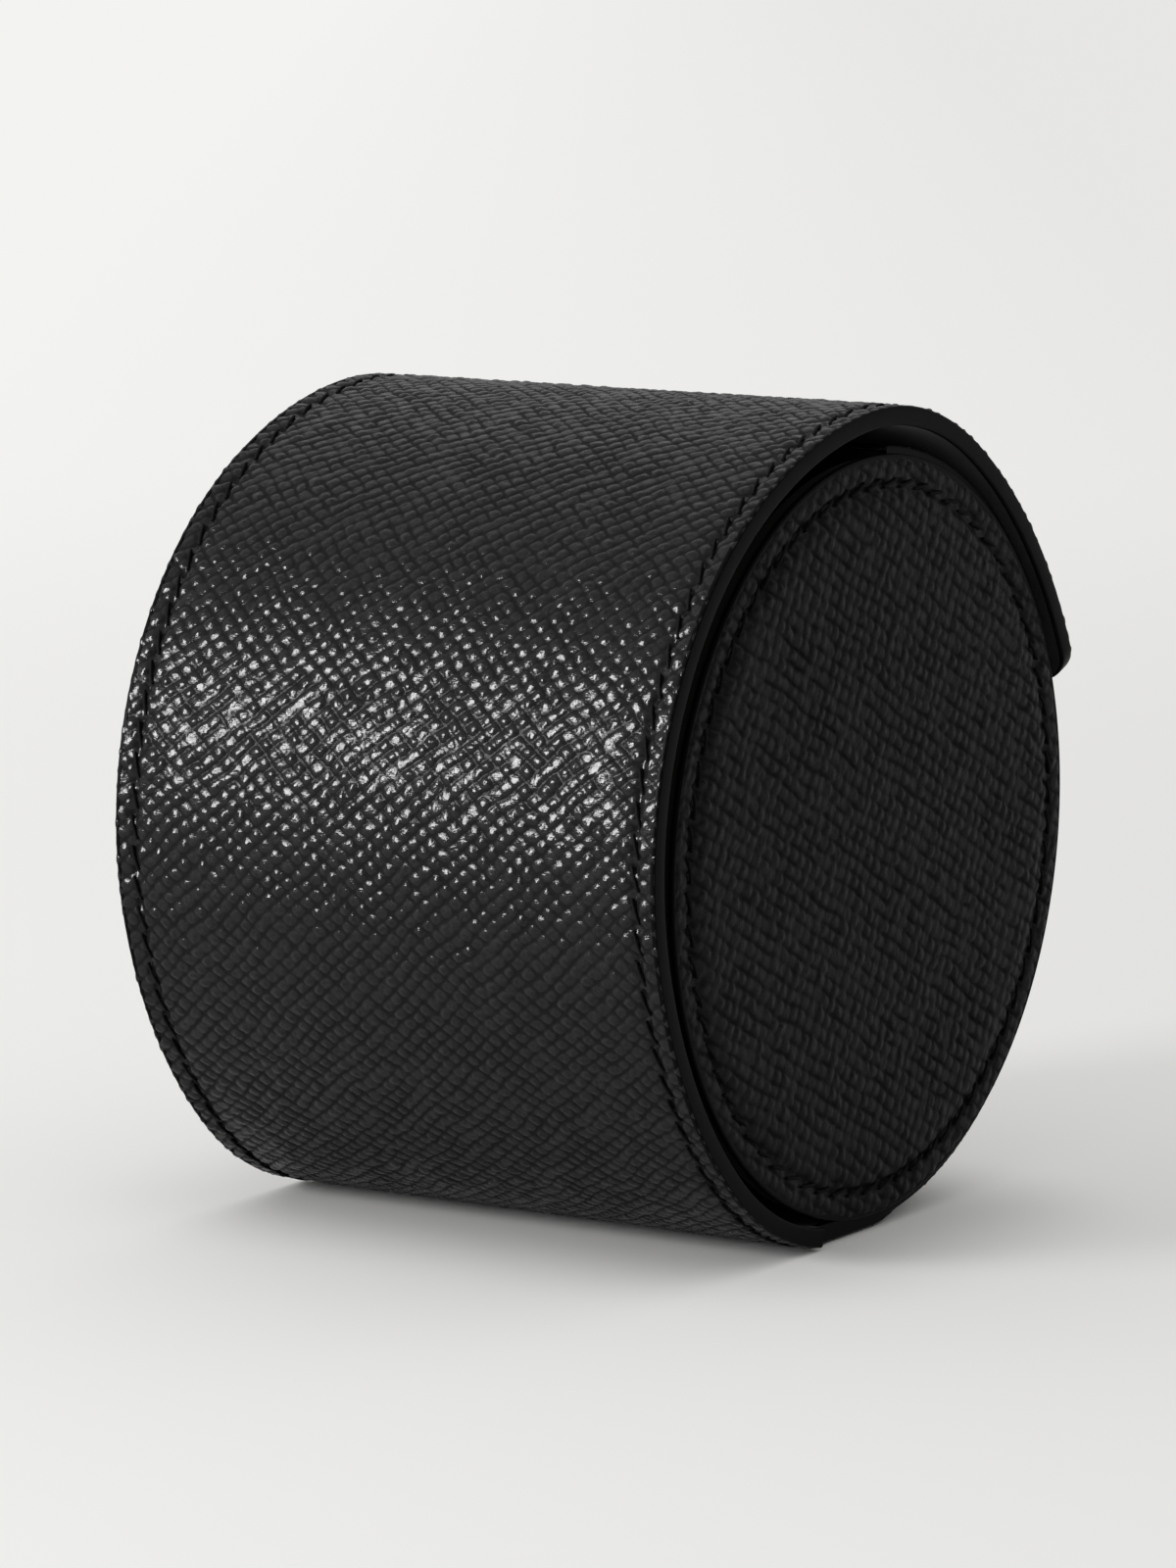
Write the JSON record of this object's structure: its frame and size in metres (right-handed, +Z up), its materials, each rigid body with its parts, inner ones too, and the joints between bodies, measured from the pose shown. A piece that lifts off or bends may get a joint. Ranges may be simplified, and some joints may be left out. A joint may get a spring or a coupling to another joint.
{
  "type": "watch roll",
  "caption": "Round stiff leather case for a wristwatch: a tray with disc ends, a cover that curls round it and a removable cushion.",
  "frame": {"origin": "on the rest face, below the centre line of the end discs, midway along the roll", "axes": "+X along the roll; the mouth of the tray faces -Y and the flap lies on +Y; +Z up"},
  "size_m": [0.0642, 0.0845, 0.0847],
  "materials": {
    "leather": "black cross-grain, semi-gloss",
    "board": "plain leather board",
    "lining": "fine napped lining",
    "thread": "twisted polyester thread",
    "steel": "plain sheet",
    "magnet": "nickel plated",
    "foam": "open-cell foam",
    "suede": "napped"
  },
  "bodies": {
    "tray": {"tray_leather": "leather", "tray_board": "board", "tray_lining": "lining", "tray_thread": "thread", "keeper_plate": "steel", "left_end_leather": "leather", "left_end_board": "board", "left_end_lining": "lining", "left_end_thread": "thread", "right_end_leather": "leather", "right_end_board": "board", "right_end_lining": "lining", "right_end_thread": "thread"},
    "cover_1": {"cover_leather_1": "leather", "cover_board_1": "board", "cover_lining_1": "lining", "cover_thread_1": "thread"},
    "cover_2": {"cover_leather_2": "leather", "cover_board_2": "board", "cover_lining_2": "lining", "cover_thread_2": "thread"},
    "cover_3": {"cover_leather_3": "leather", "cover_board_3": "board", "cover_lining_3": "lining", "cover_thread_3": "thread"},
    "cover_4": {"cover_leather_4": "leather", "cover_board_4": "board", "cover_lining_4": "lining", "cover_thread_4": "thread"},
    "cover_5": {"cover_leather_5": "leather", "cover_board_5": "board", "cover_lining_5": "lining", "cover_thread_5": "thread"},
    "cover_6": {"cover_leather_6": "leather", "cover_board_6": "board", "cover_lining_6": "lining", "cover_thread_6": "thread"},
    "cover_7": {"cover_leather_7": "leather", "cover_board_7": "board", "cover_lining_7": "lining", "cover_thread_7": "thread", "flap_magnets": "magnet"},
    "cushion": {"cushion_foam": "foam", "cushion_sleeve": "suede", "cushion_left_end": "suede", "cushion_right_end": "suede"}
  },
  "joints": [
    {"name": "cover_crease", "type": "hinge", "parent": "tray", "child": "cover_1", "pos_m": [0, -0.0113, 0], "axis": [1, 0, 0], "range_deg": [0, 9]},
    {"name": "cover_fold_1", "type": "hinge", "parent": "cover_1", "child": "cover_2", "pos_m": [0, -0.02887, 0.00887], "axis": [1, 0, 0], "range_deg": [0, 50]},
    {"name": "cover_fold_2", "type": "hinge", "parent": "cover_2", "child": "cover_3", "pos_m": [0, -0.0426, 0.03286], "axis": [1, 0, 0], "range_deg": [0, 34]},
    {"name": "cover_fold_3", "type": "hinge", "parent": "cover_3", "child": "cover_4", "pos_m": [0, -0.04105, 0.05644], "axis": [1, 0, 0], "range_deg": [0, 35]},
    {"name": "cover_fold_4", "type": "hinge", "parent": "cover_4", "child": "cover_5", "pos_m": [0, -0.02507, 0.0764], "axis": [1, 0, 0], "range_deg": [0, 31]},
    {"name": "cover_fold_5", "type": "hinge", "parent": "cover_5", "child": "cover_6", "pos_m": [0, -0.00269, 0.08452], "axis": [1, 0, 0], "range_deg": [0, 34]},
    {"name": "cover_fold_6", "type": "hinge", "parent": "cover_6", "child": "cover_7", "pos_m": [0, 0.0185, 0.08008], "axis": [1, 0, 0], "range_deg": [0, 38]},
    {"name": "cushion_lift_out", "type": "slide", "parent": "tray", "child": "cushion", "axis": [0, -0.9848, 0.1736], "range_m": [0, 0.075]}
  ],
  "couplings": [
    {"joint": "cover_crease", "follows": "cushion_lift_out", "rad_per_m": 2.0943},
    {"joint": "cover_fold_1", "follows": "cushion_lift_out", "rad_per_m": 11.636},
    {"joint": "cover_fold_2", "follows": "cushion_lift_out", "rad_per_m": 7.9121},
    {"joint": "cover_fold_3", "follows": "cushion_lift_out", "rad_per_m": 8.1448},
    {"joint": "cover_fold_4", "follows": "cushion_lift_out", "rad_per_m": 7.214},
    {"joint": "cover_fold_5", "follows": "cushion_lift_out", "rad_per_m": 7.9121},
    {"joint": "cover_fold_6", "follows": "cushion_lift_out", "rad_per_m": 8.843}
  ]
}
